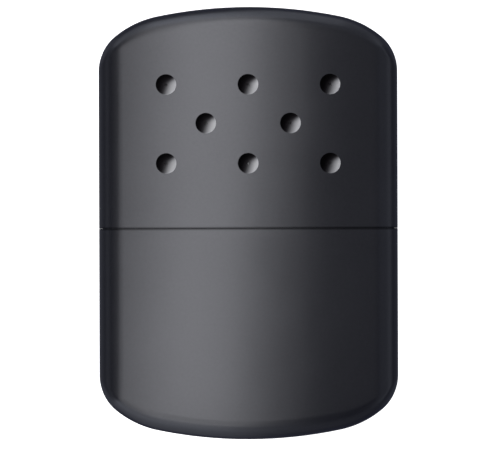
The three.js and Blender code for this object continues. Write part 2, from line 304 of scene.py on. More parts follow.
def charcoal_finish():
    """Satin charcoal over drawn steel: a fine grain, a faint cloudiness and a little painted shade along the
    seam.
    """
    deep = (0.063, 0.0635, 0.0680)
    pale = (0.076, 0.0765, 0.0820)
    seam_shade = (0.010, 0.010, 0.011)
    finish = Finish("satin_charcoal", metallic=0.9)
    grain = finish.noise(scale=9000.0, detail=3.0, roughness=0.6)
    cloud = finish.noise(scale=60.0, detail=3.0)
    mottle = finish.noise(scale=1500.0, detail=3.0, roughness=0.6)
    coat = finish.mix(finish.ramp(cloud * 0.4 + mottle * 0.4 + grain * 0.2, 0.3, 0.7), deep, pale)
    # Painted shade along the seam, where the gap between lid and tank would lie in shadow
    off_seam = abs(finish.along("Y") - SEAM_PLACE)
    seam_shaded = finish.ramp(off_seam, SEAM_SHADE_CORE, SEAM_SHADE_REACH, first=0.7, last=0.0)
    finish.set(base_color=finish.mix(seam_shaded, coat, seam_shade))
    finish.set(roughness=0.27 + 0.03 * finish.ramp(cloud, 0.3, 0.7) + 0.04 * grain)
    finish.bump(grain, GRAIN_DEPTH, strength=0.6)
    return finish.material


def vent_painted_light_finish():
    """The bowls of the vents: painted shade on one side and a painted highlight of matt pale metal on the
    other.
    """
    finish = Finish("vent_painted_light", metallic=0.0, specular_ior_level=0.03)
    grain = finish.noise(scale=7000.0, detail=3.0, roughness=0.6)
    # Painted light: the bowl is painted dark on its upper left and pale on its lower right, as a light from
    # the upper left shades it
    lit_share = finish.attribute(LIT_SIDE_ATTRIBUTE) + 0.06 * (grain - 0.5)
    finish.set(base_color=finish.colours(lit_share, *VENT_LIGHT_TONES))
    finish.set(roughness=0.55 + 0.1 * grain)
    finish.bump(grain, GRAIN_DEPTH, strength=0.5)
    return finish.material


def drawn_steel_finish(name="drawn_steel", soot=0.0):
    """Bare drawn steel: fine lines along the length, faint stains and, inside the lid, a film of soot."""
    dull = (0.30, 0.30, 0.31)
    bright = (0.42, 0.42, 0.42)
    stained = (0.12, 0.11, 0.10)
    finish = Finish(name, metallic=1.0)
    lengthways = finish.stretched(9000.0, 260.0, 9000.0)
    lines = finish.noise(scale=1.0, detail=5.0, roughness=0.65, vector=lengthways)
    stain = finish.noise(scale=140.0, detail=5.0, roughness=0.6)
    film = finish.ramp(stain, 0.35, 0.75) * (0.35 + soot)
    finish.set(base_color=finish.mix(film, finish.mix(lines, dull, bright), stained))
    finish.set(roughness=0.26 + 0.14 * lines + 0.2 * film)
    finish.bump(lines, GRAIN_DEPTH, strength=0.5)
    return finish.material


def heated_steel_finish():
    """Steel that has been hot: straw to brown to blue towards the burner's top, with dull scale."""
    tempered = (
        (0.0, (0.52, 0.51, 0.49)),
        (0.3, (0.50, 0.42, 0.28)),
        (0.52, (0.36, 0.22, 0.15)),
        (0.7, (0.20, 0.17, 0.24)),
        (0.88, (0.20, 0.26, 0.34)),
        (1.0, (0.33, 0.35, 0.37)),
    )
    scaled = (0.16, 0.15, 0.14)
    finish = Finish("heated_steel", metallic=0.95)
    lengthways = finish.stretched(6000.0, 300.0, 6000.0)
    lines = finish.noise(scale=1.0, detail=4.0, roughness=0.6, vector=lengthways)
    patch = finish.noise(scale=260.0, detail=5.0, roughness=0.6)
    height = (finish.along("Y") - CAGE_LOW.y) / (CAGE_HIGH.y - CAGE_LOW.y)
    tint = finish.colours(height + 0.5 * (patch - 0.5), *tempered)
    scale = finish.ramp(finish.noise(scale=900.0, detail=6.0, roughness=0.7), 0.5, 0.75)
    finish.set(base_color=finish.mix(scale * 0.5, tint, scaled))
    finish.set(roughness=0.30 + 0.15 * lines + 0.3 * scale)
    finish.bump(lines + 0.6 * scale, SCALE_DEPTH, strength=0.6)
    return finish.material


def glass_fibre_finish():
    """Grey glass fibre felt that holds the catalyst: matted strands, darker where it's soaked."""
    shade = (0.22, 0.215, 0.205)
    light = (0.60, 0.59, 0.56)
    soaked = (0.16, 0.15, 0.145)
    finish = Finish("glass_fibre", roughness=0.92, metallic=0.0)
    swirl = finish.noise(scale=500.0, detail=2.0)
    lengthways = finish.stretched(5200.0, 1500.0, 5200.0)
    strands = finish.noise(scale=1.0, detail=6.0, roughness=0.7, vector=lengthways)
    tangle = finish.noise(scale=3800.0, detail=6.0, roughness=0.75)
    fibre = finish.ramp(strands * 0.5 + tangle * 0.5 + swirl * 0.1, 0.35, 0.75)
    wet = finish.ramp(finish.noise(scale=330.0, detail=3.0, roughness=0.6), 0.35, 0.7)
    finish.set(base_color=finish.mix(wet * 0.55, finish.mix(fibre, shade, light), soaked))
    finish.bump(fibre, FIBRE_DEPTH, strength=0.8)
    return finish.material


def cotton_finish():
    """Loose cotton: soft cream strands, a little yellowed by fuel."""
    shade = (0.62, 0.60, 0.55)
    white = (0.88, 0.87, 0.83)
    yellowed = (0.74, 0.66, 0.46)
    finish = Finish("loose_cotton", roughness=0.96, metallic=0.0)
    lengthways = finish.stretched(2600.0, 1400.0, 1900.0)
    strands = finish.noise(scale=1.0, detail=6.0, roughness=0.7, vector=lengthways)
    tufts = finish.noise(scale=700.0, detail=5.0, roughness=0.65)
    lint = finish.ramp(strands * 0.6 + tufts * 0.4, 0.3, 0.75)
    fuel = finish.ramp(finish.noise(scale=120.0, detail=3.0), 0.4, 0.75)
    finish.set(base_color=finish.mix(fuel * 0.4, finish.mix(lint, shade, white), yellowed))
    finish.bump(lint, LINT_DEPTH, strength=0.8)
    return finish.material


CHARCOAL = charcoal_finish()
PAINTED_LIGHT_VENT = vent_painted_light_finish()
STEEL = drawn_steel_finish()
LID_LINING = drawn_steel_finish("sooty_lining", soot=0.3)
HEATED_STEEL = heated_steel_finish()
GLASS_FIBRE = glass_fibre_finish()
COTTON = cotton_finish()


# Modelling by hand


def deselect_all():
    for thing in bpy.context.selected_objects:
        thing.select_set(False)


def make_active(piece):
    deselect_all()
    piece.select_set(True)
    bpy.context.view_layer.objects.active = piece


def name_piece(name):
    piece = bpy.context.object
    piece.name = name
    piece.data.name = name
    return piece


def select_by(kind, test):
    """In edit mode, selects the faces, edges or points whose middle passes a test."""
    bpy.ops.object.mode_set(mode="EDIT")
    bpy.ops.mesh.select_mode(type={"polygons": "FACE", "edges": "EDGE", "vertices": "VERT"}[kind])
    bpy.ops.mesh.select_all(action="DESELECT")
    bpy.ops.object.mode_set(mode="OBJECT")
    mesh = bpy.context.object.data
    for item in getattr(mesh, kind):
        if kind == "edges":
            a, b = (mesh.vertices[i].co for i in item.vertices)
            middle = (a + b) / 2
        else:
            middle = item.center if kind == "polygons" else item.co
        item.select = bool(test(middle))
    bpy.ops.object.mode_set(mode="EDIT")


def done_editing():
    bpy.ops.object.mode_set(mode="OBJECT")


def weld(piece):
    """Merges the piece's doubles and turns its faces outwards."""
    make_active(piece)
    bpy.ops.object.mode_set(mode="EDIT")
    bpy.ops.mesh.select_all(action="SELECT")
    bpy.ops.mesh.remove_doubles(threshold=WELD_REACH)
    bpy.ops.mesh.dissolve_degenerate(threshold=WELD_REACH / 10)
    bpy.ops.mesh.normals_make_consistent(inside=False)
    done_editing()


def smooth(piece, degrees=40):
    make_active(piece)
    bpy.ops.object.shade_smooth_by_angle(angle=math.radians(degrees))


def apply_modifiers(piece):
    make_active(piece)
    for modifier in list(piece.modifiers):
        bpy.ops.object.modifier_apply(modifier=modifier.name)


def settle(piece):
    """Writes the piece's place, turn and scale into its mesh."""
    make_active(piece)
    bpy.ops.object.transform_apply(location=True, rotation=True, scale=True)


def break_edges(piece, width):
    """Rounds the piece's sharp edges a little, once its modifiers are applied."""
    bevel = piece.modifiers.new("edges", "BEVEL")
    bevel.width = width
    bevel.segments = BREAK_STEPS


def laid_plane(name, width, length, middle=0.0):
    """A plane primitive of a given size, with its middle at a place along Y."""
    deselect_all()
    bpy.ops.mesh.primitive_plane_add(size=1)
    plane = name_piece(name)
    plane.scale = (width, length, 1)
    plane.location = (0, middle, 0)
    settle(plane)
    return plane


def raise_rounded(test, radius, steps, height):
    """Rounds the corners of the active plane that pass a test, and draws the outline up into a solid."""
    select_by("vertices", test)
    bpy.ops.mesh.bevel(affect="VERTICES", offset=radius, segments=steps)
    bpy.ops.mesh.select_all(action="SELECT")
    bpy.ops.mesh.remove_doubles(threshold=WELD_REACH)
    bpy.ops.mesh.extrude_region_move(TRANSFORM_OT_translate={"value": (0, 0, height)})
    bpy.ops.mesh.select_all(action="SELECT")
    bpy.ops.mesh.normals_make_consistent(inside=False)
    done_editing()


def dress(piece, material, slot, body, *nodes):
    """Gives a finished piece its material and its body, in place of its CAD nodes. Its slot is not used."""
    if material is not None:
        piece.data.materials.clear()
        piece.data.materials.append(material)
    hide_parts(*nodes)
    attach(piece, body)


def laid_grid(name, columns, rows):
    """A grid primitive with one unit between its points, so a point's place tells its column and row."""
    deselect_all()
    bpy.ops.mesh.primitive_grid_add(x_subdivisions=columns, y_subdivisions=rows, size=1)
    piece = name_piece(name)
    piece.scale = (columns, rows, 1)
    piece.location = (columns / 2, rows / 2, 0)
    settle(piece)
    return piece


def place_points(piece, place):
    for point in piece.data.vertices:
        point.co = place(*point.co)
    piece.data.update()


def arc(count, turn=math.pi / 2):
    """Even angles from nothing to a turn."""
    return [turn * i / count for i in range(count + 1)]


def spaced(first, last, count):
    """Even values from first to last, both included."""
    return [first + (last - first) * i / count for i in range(count + 1)]


def filleted(corners):
    """A closed profile with each square corner rounded."""
    rounded = []
    for i, corner in enumerate(corners):
        here = Vector(corner)
        arriving = (here - Vector(corners[i - 1])).normalized()
        leaving = (Vector(corners[(i + 1) % len(corners)]) - here).normalized()
        for angle in arc(FILLET_STEPS):
            turn = (math.sin(angle) - 1) * arriving + (1 - math.cos(angle)) * leaving
            rounded.append(tuple(here + SHEET_FILLET * turn))
    return rounded


# The drawn case


def crown(across):
    """Half the case's thickness at a place across it: a flat land, then a shallow crown to each side."""
    past = max(0.0, abs(across) - LAND_HALF)
    return HALF_THICKNESS - CROWN_RADIUS + math.sqrt(CROWN_RADIUS**2 - past**2)


def rise(depth, reach):
    """How high a rounded edge has risen at a depth from its outline, as a share, full at its reach."""
    if depth >= reach:
        return 1.0
    return math.sqrt(max(0.0, 1 - (1 - depth / reach) ** 2))


def end_arcs():
    """The three tangent arcs of half an end: centre (across, depth from the tip), radius, angles, steps."""
    outer = END_RADIUS - SHOULDER_RADIUS
    inner = SHOULDER_RADIUS - CORNER_RADIUS
    along = outer + inner * math.cos(SHOULDER_TURN)
    aside = inner * math.sin(SHOULDER_TURN)
    lean = math.atan2(aside, along)
    end_turn = math.asin((HALF_WIDTH - CORNER_RADIUS) / math.hypot(along, aside)) - lean
    bend = end_turn + SHOULDER_TURN
    shoulder = (outer * math.sin(end_turn), END_RADIUS - outer * math.cos(end_turn))
    corner = (shoulder[0] + inner * math.sin(bend), shoulder[1] - inner * math.cos(bend))
    return (
        (corner, CORNER_RADIUS, math.pi / 2, bend, CORNER_STEPS),
        (shoulder, SHOULDER_RADIUS, bend, end_turn, SHOULDER_STEPS),
        ((0.0, END_RADIUS), END_RADIUS, end_turn, 0.0, END_STEPS),
    )


# How far from the tip the corners' arcs meet the straight sides
CORNER_DEPTH = end_arcs()[0][0][1]


def end_stations():
    """The stations round half an end, each as its place across, depth from the tip and outward normal."""
    stations = []
    for (across, depth), radius, first, last, steps in end_arcs():
        for angle in spaced(first, last, steps)[1 if stations else 0:]:
            u = across + radius * math.sin(angle)
            v = depth - radius * math.cos(angle)
            stations.append((u, v, math.sin(angle), math.cos(angle)))
    return stations


def rim_profile():
    """The sheet's round edge at a rim, from inner skin to outer, as inset and height above the rim."""
    turned = [(RIM_FILLET * (1 - math.cos(a)), RIM_FILLET * (1 - math.sin(a))) for a in arc(FILLET_STEPS)]
    inner = [(WALL - aside, above) for aside, above in turned]
    outer = [(above, aside) for aside, above in turned]
    return inner + outer


def face_shares():
    """Places across the face as shares of its half width, one pitch apart and even about the middle."""
    half = HALF_WIDTH - SIDE_EDGE
    count = math.floor(half / FACE_PITCH)
    inner = [i * FACE_PITCH / half for i in range(-count, count + 1)]
    return [-1.0, *inner, 1.0]


SHARES = face_shares()
COLUMNS = 2 * EDGE_STEPS + len(SHARES) - 1


def case_point(station, tip, inset, column):
    """A point of the case's front half, from the left side's middle up, across the face and down the right.

    The section keeps its rounded sides right to the outline, also round the corners, where the end's own
    rounded edge cuts it off.
    """
    u, v, across, up = station
    from_side = min(column, COLUMNS - column)
    side = -1 if column < COLUMNS / 2 else 1
    edge = SIDE_EDGE * across**2 + END_EDGE * up**2
    angle = math.pi / 2 * min(from_side, EDGE_STEPS) / EDGE_STEPS
    from_outline = (edge - inset) * (1 - math.cos(angle))
    x = u - (inset + from_outline) * across
    y = tip - v - (inset + from_outline) * up
    if from_side >= EDGE_STEPS:
        x *= SHARES[column - EDGE_STEPS]
        return Vector((x, y, crown(x) - inset))
    section = rise(HALF_WIDTH - inset - x, SIDE_EDGE - inset)
    end = rise(from_outline, (END_EDGE - inset) * up)
    return Vector((side * x, y, (crown(x) - inset) * section * end))


def section_point(y, inset, column):
    """A point of the case's straight section at a place along it, a given distance inside its skin."""
    return case_point((HALF_WIDTH, -y, 1.0, 0.0), 0.0, inset, column)


def vent_places():
    """The vents on one face, as places across and along it: three, two and three."""
    outer = (-VENT_OUTER_SPREAD, 0.0, VENT_OUTER_SPREAD)
    middle = (-VENT_MIDDLE_SPREAD, VENT_MIDDLE_SPREAD)
    places = []
    for row, share in enumerate(VENT_ROW_SHARES):
        y = LID_TIP - share * (LID_TIP - LID_LOW.y)
        places += [(x, y) for x in (middle if row == 1 else outer)]
    return places


def straight_rows(tip, rim, vents):
    """Places of the rows along the case's straight part, in step with the rows of vents where it has them.

    With vents, the rows keep at least half a pitch from the part's ends.
    """
    low = rim + RIM_FILLET
    high = tip - CORNER_DEPTH
    if not vents:
        return spaced(low, high, TANK_ROWS)[:-1]
    ys = [y for _, y in vents]
    pitch = (max(ys) - min(ys)) / (2 * ROWS_BETWEEN_VENTS)
    below = math.floor((min(ys) - low) / pitch - 0.5)
    above = math.floor((high - min(ys)) / pitch - 0.5)
    return [low] + [min(ys) + i * pitch for i in range(-below, above + 1)]


def bowl_profile():
    """A vent's section as radius and depth, and how many of its points lie on the flat and outside."""
    sphere = (VENT_RIM**2 + VENT_DEPTH**2) / (2 * VENT_DEPTH)
    centre = sphere - VENT_DEPTH
    rim_angle = math.acos(centre / sphere)
    throat_angle = math.asin(VENT_THROAT / sphere)
    start = VENT_RIM + VENT_FILLET * math.tan(rim_angle / 2)
    # A ring on the face close to the fillet keeps the fillet's shading from spreading
    flat = [(start + VENT_FILLET, 0.0)]
    fillet = [
        (start - VENT_FILLET * math.sin(angle), VENT_FILLET * (1 - math.cos(angle)))
        for angle in arc(FILLET_STEPS, rim_angle)
    ]
    first = math.asin(fillet[-1][0] / sphere)
    bowl = [
        (sphere * math.sin(angle), sphere * math.cos(angle) - centre)
        for angle in spaced(first, throat_angle, BOWL_STEPS)[1:]
    ]
    # The bowl's inner side, from the throat's edge back to the case's inner skin
    outer = sphere + VENT_SHEET
    inner_throat = math.asin(VENT_THROAT / outer)
    inner_rim = math.acos((centre + WALL) / outer)
    back = [
        (outer * math.sin(angle), outer * math.cos(angle) - centre)
        for angle in spaced(inner_throat, inner_rim, BOWL_STEPS)
    ]
    return flat + fillet + bowl + back, len(flat), len(flat) + len(fillet) + len(bowl)


def round_block(aside, ahead):
    """The angle on a circle for a point on a square block's outline, with the points evenly apart."""
    reach = max(abs(aside), abs(ahead))
    eighth = math.pi / 4
    if aside >= reach:
        return eighth * ahead / reach
    if ahead >= reach:
        return eighth * (2 - aside / reach)
    if aside <= -reach:
        return eighth * (4 - ahead / reach)
    return eighth * (6 + aside / reach)


CASE_FINISHES = (CHARCOAL, PAINTED_LIGHT_VENT, LID_LINING)


class DrawnShell:
    """A drawn half of the case: two skins, a rounded rim and, on the lid, vents pressed inwards."""

    def __init__(self, tip, rim, vents):
        self.tip = tip
        self.heights = straight_rows(tip, rim, vents)
        straight = [(HALF_WIDTH, tip - y, 1.0, 0.0) for y in self.heights]
        self.skin_rows = [(station, 0.0) for station in straight + end_stations()]
        lip = rim_profile()[:-1]
        self.lip_rows = [((HALF_WIDTH, tip - rim - above, 1.0, 0.0), inset) for inset, above in lip]
        self.profile, self.flat_end, self.bowl_end = bowl_profile()
        self.centres = [self.nearest_cell(x, y) for x, y in vents]

    def nearest_cell(self, x, y):
        """The grid's column and row nearest to a vent, with the vent's own place."""
        face = HALF_WIDTH - SIDE_EDGE
        column = min(range(len(SHARES)), key=lambda i: abs(SHARES[i] * face - x))
        row = min(range(len(self.heights)), key=lambda i: abs(self.heights[i] - y))
        return EDGE_STEPS + column, row, x, y

    def reach(self, centre, x, y):
        """How many cells a point of the grid lies from a vent's own, counted the longer way."""
        return max(abs(x - centre[0]), abs(y - centre[1]))

    def open_blocks(self, shift):
        """Deletes the square block of faces round each vent."""

        def inside(p):
            return any(self.reach(c, p.x, p.y - shift) < VENT_CELLS for c in self.centres)

        select_by("polygons", inside)
        bpy.ops.mesh.delete(type="FACE")
        done_editing()

    def raise_rings(self, shift):
        """Extrudes the blocks' outlines, a unit for each ring of the section and one for the inner skin."""

        def on_outline(p):
            return any(abs(self.reach(c, p.x, p.y - shift) - VENT_CELLS) < GRID_SLACK for c in self.centres)

        select_by("edges", on_outline)
        for _ in range(len(self.profile) + 1):
            bpy.ops.mesh.extrude_region_move(TRANSFORM_OT_translate={"value": (0, 0, 1)})
        done_editing()

    def ring_point(self, x, y, ring, shift):
        """A point of a vent's ring, or of the inner skin at the last ring."""
        if ring == len(self.profile) + 1:
            return case_point(self.skin_rows[round(y - shift)][0], self.tip, WALL, round(x))
        column, row, vent_x, vent_y = min(self.centres, key=lambda c: self.reach(c, x, y - shift))
        angle = round_block(round(x - column), round(y - row - shift))
        radius, depth = self.profile[ring - 1]
        across = vent_x + radius * math.cos(angle)
        return Vector((across, vent_y + radius * math.sin(angle), crown(across) - depth))

    def paint_rings(self, grid):
        """Sets the vents' outer bowls and the inner sides apart from the coated skin."""
        for face in grid.data.polygons:
            ring = math.floor(face.center.z)
            if ring > self.bowl_end:
                face.material_index = CASE_FINISHES.index(LID_LINING)
            elif ring > self.flat_end:
                face.material_index = CASE_FINISHES.index(PAINTED_LIGHT_VENT)

    def outer_skin(self, name):
        rows = self.lip_rows + self.skin_rows
        shift = len(self.lip_rows)
        grid = laid_grid(name, COLUMNS, len(rows) - 1)
        for material in CASE_FINISHES:
            grid.data.materials.append(material)
        if self.centres:
            self.open_blocks(shift)
            self.raise_rings(shift)
            self.paint_rings(grid)

        def place(x, y, z):
            ring = round(z)
            if ring:
                return self.ring_point(x, y, ring, shift)
            station, inset = rows[round(y)]
            return case_point(station, self.tip, inset, round(x))

        place_points(grid, place)
        if self.centres:
            self.mark_lit_side(grid)
        return grid

    def mark_lit_side(self, grid):
        """Writes how far each point lies towards the painted lit side of its bowl, less a painted shadow
        under the top.
        """
        side = grid.data.attributes.new(LIT_SIDE_ATTRIBUTE, "FLOAT", "POINT")
        for point, share in zip(grid.data.vertices, side.data):
            _, _, x, y = min(self.centres, key=lambda c: math.hypot(point.co.x - c[2], point.co.y - c[3]))
            aside = (point.co.x - x) / VENT_RIM
            ahead = (point.co.y - y) / VENT_RIM
            lit_share = aside * math.cos(LIT_TOWARDS) + ahead * math.sin(LIT_TOWARDS)
            # Painted shadow under the bowl's upper rim
            lit_share -= VENT_TOP_SHADOW * max(0.0, ahead) ** 2
            share.value = min(max((1 + lit_share) / 2, 0.0), 1.0)

    def inner_skin(self, name):
        grid = laid_grid(name, COLUMNS, len(self.skin_rows) - 1)
        grid.data.materials.append(LID_LINING)
        if self.centres:
            self.open_blocks(0)
        place_points(grid, lambda x, y, z: case_point(self.skin_rows[round(y)][0], self.tip, WALL, round(x)))
        return grid

    def build(self, name):
        outer = self.outer_skin(name)
        inner = self.inner_skin(name + "_lining")
        make_active(outer)
        inner.select_set(True)
        bpy.ops.object.join()
        mirror_front(outer)
        smooth(outer)
        return outer


def mirror_front(piece):
    """Mirrors a front half about the case's middle plane and lifts the whole to its place."""
    mirror = piece.modifiers.new("back", "MIRROR")
    mirror.use_axis = (False, False, True)
    mirror.merge_threshold = WELD_REACH
    apply_modifiers(piece)
    weld(piece)
    piece.location.z = HALF_THICKNESS
    settle(piece)


def make_case():
    lid = DrawnShell(LID_TIP, LID_RIM, vent_places()).build("vented_lid")
    dress(lid, None, "case_paint", "lid", "lid_shell")
    tank = DrawnShell(TANK_TIP, TANK_RIM, []).build("fuel_tank")
    tank.rotation_euler.z = math.pi
    settle(tank)
    dress(tank, None, "case_paint", "tank", "tank_shell")


# The collar over which the lid slides


def mouth_point(y, column):
    """A point of the deck's oval mouth that goes with a column of the case's section."""
    half_long = NECK_HIGH.x - NECK_FLANGE + MOUTH_ROOM
    half_short = HALF_THICKNESS - NECK_LOW.z - NECK_FLANGE + MOUTH_ROOM
    centre = half_long - half_short
    from_side = min(column, COLUMNS - column)
    if from_side >= EDGE_STEPS:
        return Vector((centre * SHARES[column - EDGE_STEPS], y, half_short))
    side = -1 if column < COLUMNS / 2 else 1
    angle = math.pi / 2 * from_side / EDGE_STEPS
    return Vector((side * (centre + half_short * math.cos(angle)), y, half_short * math.sin(angle)))


def pressed(point):
    """Lifts a point of the collar's face where a detent is pressed out."""
    aside = abs(point.x) - DETENT_SPREAD
    below = COLLAR_HIGH.y - DETENT_BELOW_DECK - point.y
    share = (aside**2 + below**2) / DETENT_RADIUS**2
    lift = DETENT_HEIGHT * max(0.0, 1 - share) ** 2
    return Vector((point.x, point.y, point.z + lift)) if share < 1 and point.z > 0 else point


def collar_rows():
    """The collar's closed section as rows: up the band, over the deck to its mouth and back underneath."""
    foot, deck = COLLAR_LOW.y, COLLAR_HIGH.y
    under = deck - COLLAR_SHEET
    inner = COLLAR_INSET + COLLAR_SHEET
    shares = spaced(0.0, 1.0, DECK_STEPS)

    def band(inset, top):
        """The rows up a side of the band and round its edge, to the top's height."""
        side = [(y, inset, 0.0) for y in spaced(foot + SHEET_FILLET, top - COLLAR_EDGE, COLLAR_BAND_STEPS)]
        for angle in arc(COLLAR_EDGE_STEPS)[1:]:
            height = top - COLLAR_EDGE * (1 - math.sin(angle))
            side.append((height, inset + COLLAR_EDGE * (1 - math.cos(angle)), 0.0))
        return side

    rows = band(COLLAR_INSET, deck)
    rows += [(deck, COLLAR_INSET + COLLAR_EDGE, share) for share in shares[1:]]
    rows += [(under, inner + COLLAR_EDGE, share) for share in reversed(shares)]
    rows += reversed(band(inner, under)[:-1])
    rows += [(foot, inner - SHEET_FILLET, 0.0), (foot, COLLAR_INSET + SHEET_FILLET, 0.0)]
    return rows + rows[:1]


def make_collar():
    rows = collar_rows()
    grid = laid_grid("stepped_collar", COLUMNS, len(rows) - 1)

    def place(x, y, z):
        height, inset, share = rows[round(y)]
        band = section_point(height, inset, round(x))
        return pressed(band.lerp(mouth_point(height, round(x)), share))

    place_points(grid, place)
    mirror_front(grid)
    smooth(grid)
    dress(grid, STEEL, "plain_steel", "tank", "tank_collar")


# Oval pieces round the neck


def oval_point(half_long, half_short, offset, column):
    """A point of an oval round the neck's axis, grown by an offset, as places across and front to back."""
    per_side = OVAL_ARC_STEPS + OVAL_STRAIGHT_STEPS
    turn, step = divmod(column % (2 * per_side), per_side)
    centre = half_long - half_short
    radius = half_short + offset
    if step <= OVAL_ARC_STEPS:
        angle = math.pi * (step / OVAL_ARC_STEPS - 0.5)
        x, z = centre + radius * math.cos(angle), radius * math.sin(angle)
    else:
        x, z = centre * (1 - 2 * (step - OVAL_ARC_STEPS) / OVAL_STRAIGHT_STEPS), radius
    return (-x, -z) if turn else (x, z)


def swept_oval(name, half_long, half_short, profile):
    """A section of offsets and heights swept round an oval."""
    columns = 2 * (OVAL_ARC_STEPS + OVAL_STRAIGHT_STEPS)
    grid = laid_grid(name, columns, len(profile) - 1)

    def place(x, y, z):
        offset, height = profile[round(y)]
        across, forward = oval_point(half_long, half_short, offset, round(x))
        return Vector((across, height, forward + HALF_THICKNESS))

    place_points(grid, place)
    weld(grid)
    return grid


def make_neck():
    deck = COLLAR_HIGH.y
    foot, top = NECK_LOW.y, NECK_HIGH.y
    profile = filleted([
        (-NECK_SHEET, foot),
        (0.0, foot),
        (0.0, deck),
        (NECK_FLANGE, deck),
        (NECK_FLANGE, deck + NECK_FLANGE_SHEET),
        (0.0, deck + NECK_FLANGE_SHEET),
        (0.0, top),
        (-NECK_SHEET, top),
    ])
    half_short = HALF_THICKNESS - NECK_LOW.z - NECK_FLANGE
    neck = swept_oval("oval_neck", NECK_HIGH.x - NECK_FLANGE, half_short, profile + profile[:1])
    smooth(neck)
    dress(neck, STEEL, "plain_steel", "tank", "filler_neck")


def make_skirt():
    foot, top = SKIRT_LOW.y, SKIRT_HIGH.y
    seat = PLATE_LOW.y
    inner = -SKIRT_SHEET
    ledge = inner - LEDGE_WIDTH
    profile = filleted([
        (0.0, foot),
        (0.0, top),
        (inner, top),
        (inner, seat),
        (ledge, seat),
        (ledge, seat - LEDGE_SHEET),
        (inner, seat - LEDGE_SHEET),
        (inner, foot),
    ])
    half_short = HALF_THICKNESS - SKIRT_LOW.z
    skirt = swept_oval("burner_sleeve", SKIRT_HIGH.x, half_short, profile + profile[:1])
    smooth(skirt)
    dress(skirt, STEEL, "plain_steel", "burner", "burner_skirt")


def cut_by(piece, cutter):
    cut = piece.modifiers.new("cut", "BOOLEAN")
    cut.operation = "DIFFERENCE"
    cut.solver = "EXACT"
    cut.object = cutter
    apply_modifiers(piece)
    bpy.data.objects.remove(cutter)


def slot_row(name, low, high, round_top):
    """A row of slots to cut with, drawn across X and Y, raised along Z and round at one end or both."""
    half_short = HALF_THICKNESS - CAGE_LOW.z
    pitch = 2 * (CAGE_HIGH.x - half_short) / SLOT_COUNT
    width = high.x - low.x
    middle = (low.y + high.y) / 2
    row = laid_plane(name, width, high.y - low.y, middle)
    raise_rounded(lambda p: round_top or p.y < middle, width / 2, SLOT_END_STEPS, high.z - low.z)
    repeat = row.modifiers.new("row", "ARRAY")
    repeat.count = SLOT_COUNT
    repeat.use_relative_offset = False
    repeat.use_constant_offset = True
    repeat.constant_offset_displace = (pitch, 0, 0)
    apply_modifiers(row)
    row.location = (-pitch * (SLOT_COUNT - 1) / 2, 0, low.z)
    settle(row)
    return row


def make_plate():
    """The slotted plate on the ledge: an oval cut from sheet, with its slots punched across."""
    half_short = HALF_THICKNESS - PLATE_LOW.z
    thick = PLATE_HIGH.y - PLATE_LOW.y
    plate = laid_plane("slotted_plate", 2 * PLATE_HIGH.x, 2 * half_short)
    raise_rounded(lambda p: True, half_short, PLATE_END_STEPS, thick)
    reach = half_short - PLATE_SLOT_MARGIN
    low = Vector((-PLATE_SLOT / 2, -reach, -thick))
    high = Vector((PLATE_SLOT / 2, reach, 2 * thick))
    cut_by(plate, slot_row("plate_slots", low, high, round_top=True))
    plate.rotation_euler.x = -math.pi / 2
    plate.location = (0, PLATE_LOW.y, HALF_THICKNESS)
    settle(plate)
    break_edges(plate, PLATE_BREAK)
    apply_modifiers(plate)
    smooth(plate, degrees=30)
    dress(plate, HEATED_STEEL, "heated_steel", "burner", "burner_floor")


def cap_profile(half_short, edge, foot, top):
    """The side and round edge of a closed oval cap, from its foot to its middle."""
    rows = [(0.0, y) for y in spaced(foot, top - edge, CAP_SIDE_STEPS)]
    rows += [(edge * (math.cos(a) - 1), top - edge * (1 - math.sin(a))) for a in arc(CAP_EDGE_STEPS)[1:]]
    rows += [(-edge - (half_short - edge) * share, top) for share in (0.5, 1.0)]
    return rows


def make_cage():
    """The slotted hood of the burner, drawn from thin sheet and cut through over its top."""
    half_short = HALF_THICKNESS - CAGE_LOW.z
    foot, top = CAGE_LOW.y, CAGE_HIGH.y
    outer = cap_profile(half_short, CAGE_EDGE, foot, top)
    inner = cap_profile(half_short - CAGE_SHEET, CAGE_EDGE - CAGE_SHEET, foot, top - CAGE_SHEET)
    inner = [(offset - CAGE_SHEET, height) for offset, height in inner]
    cage = swept_oval("slotted_hood", CAGE_HIGH.x, half_short, list(reversed(inner)) + outer)
    low = Vector((-CAGE_SLOT / 2, foot + CAGE_BAND - CAGE_SLOT / 2, 0))
    high = Vector((CAGE_SLOT / 2, top + CAGE_EDGE, 2 * HALF_THICKNESS))
    cut_by(cage, slot_row("hood_slots", low, high, round_top=False))
    smooth(cage, degrees=35)
    dress(cage, HEATED_STEEL, "heated_steel", "burner", "burner_cage")


